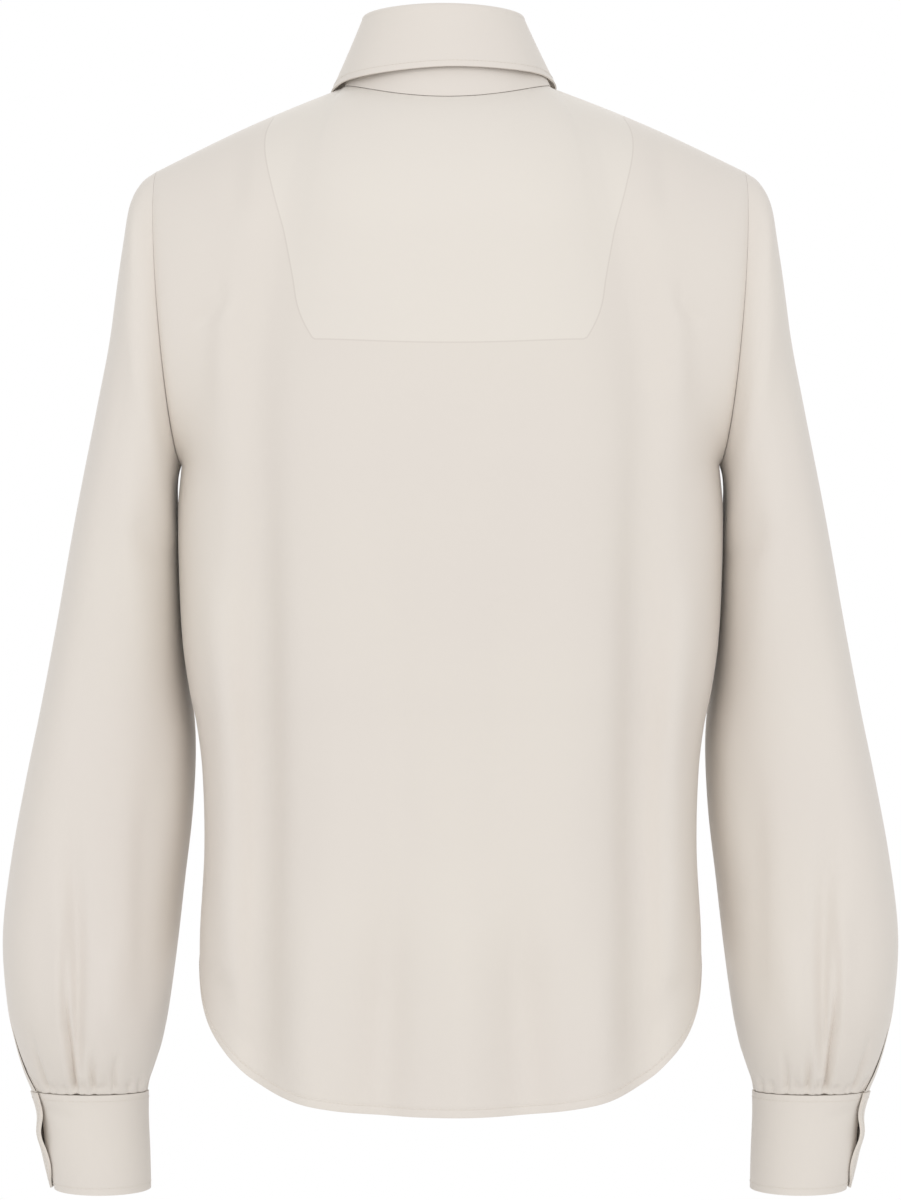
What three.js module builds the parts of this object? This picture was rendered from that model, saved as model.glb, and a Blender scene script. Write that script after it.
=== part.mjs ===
// A silk blouse, filled out and hollow, as worn: back, two lapped fronts, a tall collar with a
// turned-down fall, full sleeves gathered into lapped cuffs, and its buttons.
//
// Millimetres, +Z up, +Y to the wearer's front, +X to the wearer's right. The origin is at the
// height of the neckline seam, in the middle of the neck, where the wearer's shoulders hold it.
//
// Each piece of cloth is a surface given by a function, thickened to a closed wall.

import * as THREE from 'three';

const { lerp, clamp, smoothstep, degToRad } = THREE.MathUtils;
const V = THREE.Vector3;

// ---------------------------------------------------------------- driving dimensions

const CLOTH = 1.2;
const CUFF_CLOTH = 1.6;
const BUTTON_GAP = 0.5;
const PANEL_GAP = 0.8; // wider at the shoulder and side seams, where the two walls lean together
const LAYER_STEP = 2; // from the middle of a layer of cloth to the middle of one laid on it

const TIP = { x: 187, y: 3, z: -47 }; // top of the armhole seam, at the shoulder
const UNDERARM = { x: 171.5, y: 0, z: -235 };
const ARMHOLE_BOW = { back: 5, front: 4 }; // how far the armhole bows out between the two

const NECK_PART = 6 / 13; // share of a panel's half that ends on the neckline
const SHOULDER_RISE = 2.5; // crown of the shoulder seam over a straight line
const ROLL_SHARE = 0.5; // share of the rows above the underarm that roll over the shoulder
const ROLL_DROP = 0.39; // share of that height that the roll takes
const SHOULDER_LEAN = degToRad(15);
const NECK_LEAN = { back: degToRad(38), front: degToRad(52) };
const SECTION_POWER = 0.8; // under 1 flattens the back and the chest

const HEM = { side: -551, back: -641, front: -628, power: 2.75 };
const FRONT_LAP = 0.05; // how far a front passes the centre, as a share of the half panel

// Rings of the collar: half width, middle and reach along Y, heights at the side, back and front
const NECK = { shift: -2, half: 66, middle: -4, reach: 58, side: 6, back: -6, front: -72 };
const FOLD = { shift: -4.5, half: 47.5, middle: -2, reach: 43, side: 49, back: 51.2, front: -26 };
const STAND_SEAM = { up: 1.9, in: 0.5 }; // neckline seam to the lower edge of the stand
const STAND_END = degToRad(192);
const FALL_ROLL = { out: 4.2, up: 1.8, lift: 2.6 };
const FALL_BELLY = 5; // of the front of the fall, over the chest; its back hangs straight
const FALL_END = degToRad(175);

const FACING = { step: 3.2, top: 0.035, rows: 7, wide: 0.66, narrow: 0.4 };

const SLEEVE_SEAM = { top: 0.9, underarm: 1.9 }; // sleeve outside the panel, at the armhole
const SLIT = { turn: 0.14, row: 13, open: 0.06, lift: 3 };
const GATHERS = { count: 7, deep: 3.2, top: -520, full: -600 };

const CUFF_START = -0.5; // turns from the outer side, in radians, positive towards the back
const CUFF_END = 2 * Math.PI + 0.06;
const CUFF_RAMP = 0.55; // turn over which the lap climbs on to the end below it
const CUFF_LAP = 2.6;

const FRONT_BUTTONS = { count: 7, first: -108, pitch: 75 };
const BUTTON = { radius: 5.6, thick: 2.2, rim: 1.3, dish: 0.5 };
const CUFF_BUTTONS = { turn: -0.52, radius: 5, heights: [-652, -680] };

// The torso from the underarm down: half width at the side seams, depths to the back and front
const TORSO = [
  { z: -235, side: 171.5, back: 103, front: 114 },
  { z: -300, side: 172.5, back: 101, front: 116 },
  { z: -347, side: 171, back: 99, front: 114 },
  { z: -379, side: 166.5, back: 98, front: 112 },
  { z: -400, side: 162, back: 97, front: 110 },
  { z: -430, side: 158.3, back: 97, front: 109 },
  { z: -480, side: 157, back: 98, front: 109 },
  { z: -540, side: 160, back: 102, front: 112 },
  { z: -645, side: 159, back: 106, front: 116 },
];

// Long soft folds of both panels, mirrored: place and half width as shares of the half panel,
// how far they sink (a ridge is negative), and the heights where they begin and are full
const FOLDS = [
  { across: 0.54, half: 0.085, sink: 6, top: -90, full: -330 },
  { across: 0.68, half: 0.075, sink: -3, top: -150, full: -300 },
  { across: 0.33, half: 0.09, sink: -2, top: -260, full: -450 },
];

// A sleeve's rings: outer and inner points, half depth, bow at the armhole, and how far the outer
// and the inner side lie to the front. The inner side rests just ahead of the side seam.
const SLEEVE = [
  { row: 0, outX: TIP.x, outZ: TIP.z, inX: UNDERARM.x, inZ: UNDERARM.z, half: 50, bow: 1, outY: 0, inY: 0 },
  { row: 1, outX: 196.5, outZ: -54, inX: 173.6, inZ: -240, half: 54, bow: 0.9, outY: 0, inY: 0 },
  { row: 2, outX: 203.5, outZ: -67, inX: 174.6, inZ: -246, half: 57, bow: 0.7, outY: 0, inY: 4 },
  { row: 3, outX: 208, outZ: -90, inX: 175.2, inZ: -254, half: 59, bow: 0.5, outY: 0, inY: 10 },
  { row: 4, outX: 213.5, outZ: -120, inX: 175.4, inZ: -266, half: 60, bow: 0.3, outY: 0, inY: 17 },
  { row: 5, outX: 220, outZ: -160, inX: 174.4, inZ: -284, half: 60, bow: 0.1, outY: 1, inY: 26 },
  { row: 6, outX: 229, outZ: -210, inX: 173.4, inZ: -308, half: 60, bow: 0, outY: 2, inY: 36 },
  { row: 7, outX: 240, outZ: -270, inX: 171.5, inZ: -340, half: 59, bow: 0, outY: 3, inY: 42 },
  { row: 8, outX: 251, outZ: -332, inX: 169, inZ: -376, half: 58, bow: 0, outY: 4, inY: 44 },
  { row: 9, outX: 262, outZ: -390, inX: 166.2, inZ: -412, half: 58, bow: 0, outY: 5, inY: 40 },
  { row: 10, outX: 272, outZ: -438, inX: 167, inZ: -450, half: 59, bow: 0, outY: 6, inY: 34 },
  { row: 11, outX: 281, outZ: -487, inX: 171, inZ: -494, half: 61, bow: 0, outY: 7, inY: 28 },
  { row: 12, outX: 286.5, outZ: -535, inX: 175.5, inZ: -538, half: 62, bow: 0, outY: 8, inY: 21 },
  { row: 13, outX: 284, outZ: -577, inX: 180.5, inZ: -578, half: 60, bow: 0, outY: 8, inY: 15 },
  { row: 14, outX: 278.5, outZ: -603, inX: 185, inZ: -604, half: 53, bow: 0, outY: 8, inY: 11 },
  { row: 15, outX: 272.5, outZ: -622, inX: 190.5, inZ: -622, half: 43, bow: 0, outY: 8, inY: 8 },
  { row: 16, outX: 266.5, outZ: -635.4, inX: 194.3, inZ: -635.4, half: 32, bow: 0, outY: 8, inY: 8 },
];
const SLEEVE_END = SLEEVE.length - 1;

// A cuff, top to bottom, under its lap
const CUFF = [
  { z: -636.6, outX: 266, inX: 194.3, half: 31.5 },
  { z: -652, outX: 261.5, inX: 194.3, half: 29.5 },
  { z: -677, outX: 258.5, inX: 193.3, half: 28.5 },
  { z: -700, outX: 253, inX: 192.8, half: 28 },
];
const CUFF_AHEAD = 8;
const SLEEVE_FULL = 0.35; // how much squarer than an ellipse the back of a sleeve is

// Lower edge of the collar fall, from the centre back to its point at the front
const FALL_EDGE = [
  { turn: 0, x: 0, y: -62.5, z: 13 },
  { turn: 45, x: 51, y: -46.5, z: 11 },
  { turn: 90, x: 72.5, y: -4, z: 8 },
  { turn: 115, x: 72, y: 30, z: -1 },
  { turn: 140, x: 66, y: 64, z: -29 },
  { turn: 160, x: 56, y: 84, z: -62 },
  { turn: 175, x: 46, y: 98, z: -87 },
];

// ---------------------------------------------------------------- helpers

/** A column of a table, read smoothly at a place along its key column. */
function read(rows, key, at, column) {
  const last = rows.length - 1;
  const downhill = rows[last][key] < rows[0][key];
  const past = (row) => (downhill ? at < row[key] : at > row[key]);
  let i = 0;
  while (i < last - 1 && past(rows[i + 1])) i += 1;
  const [a, b] = [rows[i], rows[i + 1]];
  const before = rows[Math.max(i - 1, 0)];
  const after = rows[Math.min(i + 2, last)];
  const span = b[key] - a[key];
  const slopeA = (b[column] - before[column]) / (b[key] - before[key]);
  const slopeB = (after[column] - a[column]) / (after[key] - a[key]);
  const t = clamp((at - a[key]) / span, 0, 1);
  const rise = t * t * (3 - 2 * t);
  const bend = t * (1 - t) * span * (slopeA * (1 - t) - slopeB * t);
  return lerp(a[column], b[column], rise) + bend;
}

/** Numbers from first to last in equal steps. */
function steps(first, last, count) {
  return Array.from({ length: count + 1 }, (_, i) => lerp(first, last, i / count));
}

/** The unit normal of a surface at one of its points. */
function normalOf(surface, u, v) {
  const e = 1e-3;
  const along = surface(u + e, v).sub(surface(u - e, v));
  const down = surface(u, v + e).sub(surface(u, v - e));
  return along.cross(down).normalize();
}

/** The same surface, moved along its normals. */
function moved(surface, distance) {
  return (u, v) => surface(u, v).addScaledVector(normalOf(surface, u, v), distance);
}

/**
 * A wall of cloth on a surface sampled at the given places: an outer and an inner skin half a
 * thickness to each side, and a rim along every free edge. Edges of the sheet that meet are sewn.
 */
function cloth(surface, us, vs, thickness = CLOTH) {
  const points = [];
  const known = new Map();
  const index = us.map((u) => vs.map((v) => {
    const p = surface(u, v);
    const key = p.toArray().map((c) => Math.round(c * 1000)).join();
    if (!known.has(key)) {
      known.set(key, points.length);
      points.push(p);
    }
    return known.get(key);
  }));

  const triangles = [];
  for (let i = 0; i < us.length - 1; i += 1) {
    for (let j = 0; j < vs.length - 1; j += 1) {
      const [a, b, c, d] = [index[i][j], index[i + 1][j], index[i + 1][j + 1], index[i][j + 1]];
      for (const t of [[a, b, c], [a, c, d]]) {
        if (new Set(t).size === 3) triangles.push(t);
      }
    }
  }

  const normals = points.map(() => new V());
  for (const t of triangles) {
    const [a, b, c] = t.map((k) => points[k]);
    const weighted = new V().subVectors(b, a).cross(new V().subVectors(c, a));
    t.forEach((k) => normals[k].add(weighted));
  }
  normals.forEach((n) => n.normalize().multiplyScalar(thickness / 2));

  const count = points.length;
  const position = [];
  points.forEach((p, k) => position.push(...new V().addVectors(p, normals[k]).toArray()));
  points.forEach((p, k) => position.push(...new V().subVectors(p, normals[k]).toArray()));

  const edges = new Set(triangles.flatMap(([a, b, c]) => [`${a},${b}`, `${b},${c}`, `${c},${a}`]));
  const faces = [];
  for (const [a, b, c] of triangles) {
    faces.push(a, b, c, count + c, count + b, count + a);
    for (const [p, q] of [[a, b], [b, c], [c, a]]) {
      if (!edges.has(`${q},${p}`)) faces.push(q, p, count + p, q, count + p, count + q);
    }
  }

  const geometry = new THREE.BufferGeometry();
  geometry.setAttribute('position', new THREE.Float32BufferAttribute(position, 3));
  geometry.setIndex(faces);
  return geometry;
}

// ---------------------------------------------------------------- collar rings

/** A ring round the neck: turn 0 at the centre back, a quarter turn at the wearer's right. */
function collarRing(ring, turn) {
  const behind = Math.max(0, Math.cos(turn));
  const ahead = Math.max(0, -Math.cos(turn));
  const z = ring.side + (ring.back - ring.side) * behind ** 2 + (ring.front - ring.side) * ahead ** 1.25;
  return new V(ring.shift + ring.half * Math.sin(turn), ring.middle - ring.reach * Math.cos(turn), z);
}

/** Points away from the neck, level, at a turn of the collar. */
function outward(turn) {
  return new V(Math.sin(turn), -Math.cos(turn), 0);
}

// ---------------------------------------------------------------- sleeve and armhole

/** A sleeve's surface: row along it, turn 0 at the outer side and positive towards the back. */
function sleeveRing(side, row, turn) {
  const at = (column) => read(SLEEVE, 'row', row, column);
  const inward = (1 - Math.cos(turn)) / 2;
  const back = Math.sin(turn);
  const bow = at('bow') * Math.abs(back) * (back > 0 ? ARMHOLE_BOW.back : ARMHOLE_BOW.front);
  const tipY = TIP.y * Math.max(0, 1 - row / 4) * (1 - inward);
  const x = lerp(at('outX'), at('inX'), inward) + bow;
  const full = SLEEVE_FULL * smoothstep(row, 0, 4) * (1 - smoothstep(row, 12, 15.5));
  const behind = back > 0 ? back * (1 + full * (1 - back * back)) : back;
  const ahead = lerp(at('outY'), at('inY'), back > 0 ? inward ** 3 : inward);
  return new V(side * x, tipY + ahead - at('half') * behind, lerp(at('outZ'), at('inZ'), inward));
}

/** The armhole, from the shoulder tip (0) round the back or the front to the underarm (half a turn). */
function armhole(side, face, turn) {
  return sleeveRing(side, 0, -face * turn);
}

// ---------------------------------------------------------------- body panels

// The rows of facets of a panel, closest together over the shoulder
const BODY_ROWS = [...steps(0, 1, 9).map((v) => v ** 1.2), ...steps(1, 2, 8).slice(1)];

// face is -1 for the back and 1 for the front. across runs from -1 at the wearer's left side seam
// through 0 at the centre to 1 at the right one. down is 0 at the neckline and shoulder seam, 1 at
// the underarm's height and 2 at the hem.

/** How far the long folds sink into a panel at a place. */
function foldSink(across, z) {
  return FOLDS.reduce((sum, fold) => {
    const apart = (Math.abs(across) - fold.across) / fold.half;
    return sum + fold.sink * Math.exp(-apart * apart) * smoothstep(-z, -fold.top, -fold.full);
  }, 0);
}

/** The torso's section at a height, from the underarm down. */
function torso(face, across, z) {
  const swing = (across * Math.PI) / 2;
  const depth = read(TORSO, 'z', z, face < 0 ? 'back' : 'front') - foldSink(across, z);
  const level = Math.max(0, Math.cos(swing)) ** SECTION_POWER;
  return new V(read(TORSO, 'z', z, 'side') * Math.sin(swing), face * depth * level, z);
}

/** The upper edge of a panel: the neckline, then the shoulder seam to its tip. */
function topEdge(face, across) {
  const side = Math.sign(across) || 1;
  const share = Math.abs(across) / NECK_PART;
  const quarter = (Math.min(share, 1) * Math.PI) / 2;
  const turn = side * (face < 0 ? quarter : Math.PI - quarter);
  const neck = collarRing(NECK, turn);
  if (share <= 1) return neck;
  const out = (Math.abs(across) - NECK_PART) / (1 - NECK_PART);
  const tip = new V(side * TIP.x, TIP.y, TIP.z);
  const seam = neck.lerp(tip, out);
  seam.z += SHOULDER_RISE * Math.sin(out * Math.PI);
  return seam;
}

/** A panel above the underarm before its side is drawn in to the armhole. */
function yoke(face, across, down) {
  const top = topEdge(face, across);
  const low = torso(face, across, UNDERARM.z);
  const neckness = 1 - smoothstep(Math.abs(across), NECK_PART * 0.5, NECK_PART);
  const lean = lerp(SHOULDER_LEAN, face < 0 ? NECK_LEAN.back : NECK_LEAN.front, neckness);
  const turn = lerp(lean, Math.PI / 2, Math.min(1, down / ROLL_SHARE));
  const out = (Math.sin(turn) - Math.sin(lean)) / (1 - Math.sin(lean));
  const below = Math.max(0, (down - ROLL_SHARE) / (1 - ROLL_SHARE));
  const rolled = (ROLL_DROP * (Math.cos(lean) - Math.cos(turn))) / Math.cos(lean);
  const drop = rolled + (1 - ROLL_DROP) * below;
  return new V(lerp(top.x, low.x, down), lerp(top.y, low.y, out), lerp(top.z, low.z, drop));
}

/** A body panel's surface. */
function panel(face, across, down) {
  const seam = new V(0, (face * PANEL_GAP) / 2, 0);
  if (down >= 1) {
    const hem = lerp(HEM[face < 0 ? 'back' : 'front'], HEM.side, Math.abs(across) ** HEM.power);
    return torso(face, across, lerp(UNDERARM.z, hem, down - 1)).add(seam);
  }
  const side = Math.sign(across) || 1;
  const drawn = Math.max(0, (Math.abs(across) - 0.4) / 0.6) ** 2;
  const pull = armhole(side, face, Math.PI * down).sub(yoke(face, side, down));
  return yoke(face, across, down).addScaledVector(pull, drawn).add(seam);
}

const backPanel = (across, down) => panel(-1, across, down);

/** The right front, whose edge laps over the left one. */
const rightFront = (across, down) => panel(1, across, down);

/** The left front, which steps in under the right one near the centre. */
function leftFront(across, down) {
  const under = LAYER_STEP * smoothstep(across, -0.3, -0.06);
  return moved(rightFront, -under)(across, down);
}

/** A surface as its rows of facets show it: straight from each row down to the next. */
function facetted(surface, rows) {
  return (across, down) => {
    const next = clamp(rows.findIndex((row) => row >= down), 1, rows.length - 1);
    const share = (down - rows[next - 1]) / (rows[next] - rows[next - 1]);
    return surface(across, rows[next - 1]).lerp(surface(across, rows[next]), share);
  };
}

/** How far down a panel a height is met. */
function downAt(surface, across, z) {
  let [high, low] = [0, 2];
  for (let i = 0; i < 30; i += 1) {
    const middle = (high + low) / 2;
    if (surface(across, middle).z > z) high = middle;
    else low = middle;
  }
  return high;
}

/** The half-moon facing: across runs from -1 to 1 over its width, down is the back's own. */
function facing(across, down) {
  const share = down / BODY_ROWS[FACING.rows];
  const narrowing = smoothstep(share, 0.15, 1.15);
  const round = Math.sqrt(1 - Math.max(0, (share - 0.86) / 0.3) ** 2);
  const width = lerp(FACING.wide, FACING.narrow, narrowing) * round;
  return moved(backPanel, FACING.step)(across * width, down);
}

// ---------------------------------------------------------------- collar

/** The stand: turn round the neck, height 0 at the neckline seam and 1 at the fold. */
function stand(turn, height) {
  const low = collarRing(NECK, turn).addScaledVector(outward(turn), -STAND_SEAM.in);
  low.z += STAND_SEAM.up;
  const under = LAYER_STEP * smoothstep(-turn, degToRad(130), degToRad(165));
  return low.lerp(collarRing(FOLD, turn), height).addScaledVector(outward(turn), -under);
}

/** The fall: over the fold from above the stand (-1 to 0), then down to its edge (1). */
function fall(turn, down) {
  const fold = collarRing(FOLD, turn);
  const over = clamp(down + 1, 0, 1) * Math.PI;
  fold.addScaledVector(outward(turn), (FALL_ROLL.out * (1 - Math.cos(over))) / 2);
  fold.z += lerp(FALL_ROLL.lift, 0, over / Math.PI) + FALL_ROLL.up * Math.sin(over);
  const at = (column) => read(FALL_EDGE, 'turn', Math.abs(turn) * (180 / Math.PI), column);
  const edge = new V(FOLD.shift + Math.sign(turn) * at('x'), at('y'), at('z'));
  const hang = Math.max(0, down);
  const belly = FALL_BELLY * Math.max(0, -Math.cos(turn)) * Math.sin(hang * Math.PI);
  return fold.lerp(edge, hang).addScaledVector(outward(turn), belly);
}

// ---------------------------------------------------------------- sleeves and cuffs

/** How open the wrist slit is at a row: 0 above it, 1 at the cuff. */
function slitOpen(row) {
  return clamp((row - SLIT.row) / (SLEEVE_END - SLIT.row), 0, 1);
}

/** A sleeve: around runs from the slit's back edge (0) round the back, inside and front to 1. */
function sleeve(side) {
  return (around, row) => {
    const open = slitOpen(row);
    const turn = SLIT.turn + lerp(SLIT.open * open, 2 * Math.PI - SLIT.open * open, around);
    const point = sleeveRing(side, row, turn);
    const away = new V(side * Math.cos(turn), -Math.sin(turn), 0);
    const inward = (1 - Math.cos(turn)) / 2;
    const sewn = Math.max(0, 1 - row);
    point.x += side * sewn * lerp(SLEEVE_SEAM.top, SLEEVE_SEAM.underarm, inward);
    const gathered = smoothstep(-point.z, -GATHERS.top, -GATHERS.full);
    const atCuff = 1 - smoothstep(-point.z, 605, 635);
    const wave = Math.cos(around * GATHERS.count * 2 * Math.PI);
    const lap = open * SLIT.lift * smoothstep(around, 0.88, 0.97);
    return point.addScaledVector(away, gathered * atCuff * GATHERS.deep * wave + lap);
  };
}

/** A cuff: turn from its tucked end round to its lap, and height above the floor of the world. */
function cuff(side) {
  return (turn, z) => {
    const at = (column) => read(CUFF, 'z', z, column);
    const middle = (at('outX') + at('inX')) / 2;
    const half = (at('outX') - at('inX')) / 2;
    const lapStart = 2 * Math.PI + CUFF_START - CUFF_RAMP;
    const lap = CUFF_LAP * smoothstep(turn, lapStart, lapStart + CUFF_RAMP);
    const x = middle + (half + lap) * Math.cos(turn);
    return new V(side * x, CUFF_AHEAD - (at('half') + lap) * Math.sin(turn), z);
  };
}

// ---------------------------------------------------------------- buttons

/** A dished button with its back on the cloth at a point, facing along a normal. */
function button(point, normal, radius, clothWall) {
  const { thick, rim, dish } = BUTTON;
  const profile = [
    [0, 0], [radius * 0.8, 0], [radius, thick * 0.4], [radius - 0.4, thick],
    [radius - rim, thick], [radius - rim - 0.5, thick - dish], [0, thick - dish],
  ].map(([r, h]) => new THREE.Vector2(r, h));
  const mesh = new THREE.Mesh(new THREE.LatheGeometry(profile, 14), shell);
  mesh.position.copy(point).addScaledVector(normal, clothWall / 2 + BUTTON_GAP);
  mesh.quaternion.setFromUnitVectors(new V(0, 1, 0), normal);
  return mesh;
}

// ---------------------------------------------------------------- the blouse

const silk = new THREE.MeshStandardMaterial({ color: 0xe8e2d9, roughness: 0.55, metalness: 0 });
const shell = new THREE.MeshStandardMaterial({ color: 0xece6dc, roughness: 0.25, metalness: 0 });

const blouse = new THREE.Group();

function add(name, mesh) {
  mesh.name = name;
  blouse.add(mesh);
}

function addCloth(name, surface, us, vs, thickness) {
  add(name, new THREE.Mesh(cloth(surface, us, vs, thickness), silk));
}

const HALF_ACROSS = steps(0, 1, 13);
const BACK_ACROSS = steps(-1, 1, 26);
const COLLAR_TURNS = steps(-11, 11, 22).map((i) => (i * Math.PI) / 12);
const STAND_TURNS = [-STAND_END, -Math.PI, ...COLLAR_TURNS, Math.PI, STAND_END];
const FACING_ROWS = [FACING.top, ...BODY_ROWS.slice(1, FACING.rows + 1)];

addCloth('back', backPanel, BACK_ACROSS, BODY_ROWS);
addCloth('back_facing', facing, steps(-1, 1, 16), FACING_ROWS);
addCloth('front_right', rightFront, [-FRONT_LAP, ...HALF_ACROSS], BODY_ROWS);
addCloth('front_left', leftFront, [...HALF_ACROSS.map((a) => -a).reverse(), FRONT_LAP], BODY_ROWS);
addCloth('collar_stand', stand, STAND_TURNS, [0, 0.5, 1]);
addCloth('collar_fall', fall, [-FALL_END, ...COLLAR_TURNS, FALL_END], [-1, -0.5, 0, 0.35, 0.7, 1]);

const AROUND = steps(0, 1, 28);
for (const [word, side] of [['left', -1], ['right', 1]]) {
  const surface = sleeve(side);
  addCloth(`sleeve_${word}`, surface, AROUND, steps(0, SLEEVE_END, SLEEVE_END));
  const over = moved(surface, -side * LAYER_STEP);
  addCloth(`slit_binding_${word}`, over, AROUND.slice(-2), steps(SLIT.row, SLEEVE_END, 3));
  const band = cuff(side);
  addCloth(`cuff_${word}`, band, steps(CUFF_START, CUFF_END, 26), CUFF.map((row) => row.z), CUFF_CLOTH);

  CUFF_BUTTONS.heights.forEach((z, i) => {
    const turn = 2 * Math.PI + CUFF_BUTTONS.turn;
    const normal = normalOf(band, turn, z).multiplyScalar(-side);
    const disc = button(band(turn, z), normal, CUFF_BUTTONS.radius, CUFF_CLOTH);
    add(`cuff_button_${word}_${i + 1}`, disc);
  });
}

const edge = facetted(rightFront, BODY_ROWS);
for (let i = 0; i < FRONT_BUTTONS.count; i += 1) {
  const down = downAt(edge, 0, FRONT_BUTTONS.first - i * FRONT_BUTTONS.pitch);
  const normal = normalOf(edge, 0, down);
  add(`front_button_${i + 1}`, button(edge(0, down), normal, BUTTON.radius, CLOTH));
}
const throat = normalOf(stand, Math.PI, 0.5);
add('collar_button', button(stand(Math.PI, 0.5), throat, BUTTON.radius, CLOTH));

export default blouse;
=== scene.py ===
# %% [markdown]
# # A silk blouse, filled out and hollow
# The blouse is soft crepe silk, so nearly everything here is one sheet of cloth after another.
# The imported model gives the frame: where each piece lies and how big it is. Each piece of cloth is
# then made again as a fine sheet on the same form, with its creases laid on it.

# %% Load the frame
import math
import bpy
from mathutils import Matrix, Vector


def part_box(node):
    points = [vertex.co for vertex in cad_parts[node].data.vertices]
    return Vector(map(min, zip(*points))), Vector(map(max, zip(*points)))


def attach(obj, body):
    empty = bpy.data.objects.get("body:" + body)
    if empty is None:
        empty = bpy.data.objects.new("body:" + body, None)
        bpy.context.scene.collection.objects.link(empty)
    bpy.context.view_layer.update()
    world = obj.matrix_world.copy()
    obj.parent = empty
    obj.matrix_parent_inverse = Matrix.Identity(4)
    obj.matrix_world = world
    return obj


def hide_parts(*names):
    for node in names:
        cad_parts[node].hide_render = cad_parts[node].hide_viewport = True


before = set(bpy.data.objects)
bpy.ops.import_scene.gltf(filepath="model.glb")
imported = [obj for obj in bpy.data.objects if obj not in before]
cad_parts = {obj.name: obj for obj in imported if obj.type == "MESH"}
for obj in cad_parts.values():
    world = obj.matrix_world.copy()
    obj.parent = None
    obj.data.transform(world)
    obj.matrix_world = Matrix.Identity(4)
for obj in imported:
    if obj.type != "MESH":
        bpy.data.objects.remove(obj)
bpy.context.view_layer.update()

from types import SimpleNamespace as Sizes

import bpy
import numpy as np
from mathutils import Matrix, Vector

print("nodes in the frame:", len(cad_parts))

# %% [markdown]
# ## Camera, light and floor
# The blouse is seen straight from the back, from a little way off, so the camera looks along +Y
# with a long lens. A white room and two broad soft lamps give nearly even light: the folds then
# show only as faint, warm shade, as they do on pale silk. A lens and lamps are enough for that,
# and the folds' shade is not painted on. Only the facing seen through the back is painted, as
# painted shade and painted light in the silk's colour.

# %% Camera
VIEW = Sizes(away=3.0, height=0.768, middle=-0.3213)
SENSOR = 36.0

bpy.ops.object.select_all(action="DESELECT")
bpy.ops.object.camera_add(location=(0, -VIEW.away, VIEW.middle), rotation=(math.pi / 2, 0, 0))
camera = bpy.context.object
camera.data.sensor_width = SENSOR
camera.data.lens = SENSOR * VIEW.away / VIEW.height
bpy.context.scene.camera = camera

# %% Shader tools
class Value:
    """An output of a node. Sums with it add Math nodes."""

    def __init__(self, graph, socket):
        self.graph = graph
        self.socket = socket

    def math(self, operation, *others):
        return self.graph.node(
            "ShaderNodeMath", {"operation": operation}, dict(enumerate((self, *others)))
        )

    def __add__(self, other):
        return self.math("ADD", other)

    def __mul__(self, other):
        return self.math("MULTIPLY", other)

    def __sub__(self, other):
        return self.math("SUBTRACT", other)

    def __truediv__(self, other):
        return self.math("DIVIDE", other)

    def __rsub__(self, other):
        return self.math("MULTIPLY", -1.0).math("ADD", other)

    __radd__ = __add__
    __rmul__ = __mul__


class Graph:
    """The nodes of one material or of the world."""

    def __init__(self, owner):
        owner.use_nodes = True
        self.owner = owner
        self.tree = owner.node_tree
        self.tree.nodes.clear()

    def node(self, kind, settings=None, inputs=None, output=0):
        """Adds a node, its settings first and then what its sockets take."""
        made = self.tree.nodes.new(kind)
        for name, value in (settings or {}).items():
            setattr(made, name, value)
        for name, value in (inputs or {}).items():
            if isinstance(value, Value):
                self.tree.links.new(value.socket, made.inputs[name])
            else:
                made.inputs[name].default_value = value
        return Value(self, made.outputs[output])

    def blend(self, share, first, second):
        """A colour between two."""
        settings = {"data_type": "RGBA"}
        return self.node("ShaderNodeMix", settings, {0: share, 6: first, 7: second}, output=2)

    def finish(self, kind, shader):
        """Joins the shader to the output node, and gives the material or world."""
        end = self.tree.nodes.new(kind)
        self.tree.links.new(shader.socket, end.inputs["Surface"])
        return self.owner


# %% Studio light
ROOM_LIGHT = 0.74
BACKDROP = 1.0
LAMPS = [
    dict(name="key", place=(-1.6, -3.4, 1.1), size=2.6, power=23.0),
    dict(name="fill", place=(1.6, -3.4, 1.1), size=2.6, power=23.0),
    dict(name="behind", place=(0.0, 3.6, 1.6), size=2.6, power=20.0),
]

world = bpy.data.worlds.new("white_room")
bpy.context.scene.world = world
room = Graph(world)
seen = room.node("ShaderNodeLightPath")
lit = room.node("ShaderNodeBackground", inputs={"Color": (1, 1, 1, 1), "Strength": ROOM_LIGHT})
plain = room.node("ShaderNodeBackground", inputs={"Color": (1, 1, 1, 1), "Strength": BACKDROP})
both = room.node("ShaderNodeMixShader", inputs={0: seen, 1: lit, 2: plain})
room.finish("ShaderNodeOutputWorld", both)

middle = Vector((0, 0, VIEW.middle))
for lamp in LAMPS:
    facing = (middle - Vector(lamp["place"])).to_track_quat("-Z", "Y").to_euler()
    bpy.ops.object.light_add(type="AREA", location=lamp["place"], rotation=facing)
    light = bpy.context.object
    light.name = lamp["name"]
    light.data.size = lamp["size"]
    light.data.energy = lamp["power"]
    light.visible_camera = False

view = bpy.context.scene.view_settings
view.view_transform = "Standard"
view.look = "None"

# %% Floor
FLOOR = Sizes(z=-1.0, wide=4.2)

bpy.ops.mesh.primitive_plane_add(size=FLOOR.wide, location=(0, 0, FLOOR.z))
floor = bpy.context.object
floor.name = "floor"
pale = Graph(bpy.data.materials.new("pale_floor"))
speck = pale.node("ShaderNodeTexNoise", inputs={"Scale": 6.0})
tone = pale.blend(speck, (0.86, 0.85, 0.84, 1), (0.9, 0.89, 0.88, 1))
matte = pale.node("ShaderNodeBsdfPrincipled", inputs={"Base Color": tone, "Roughness": 0.9})
floor.data.materials.append(pale.finish("ShaderNodeOutputMaterial", matte))

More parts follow.
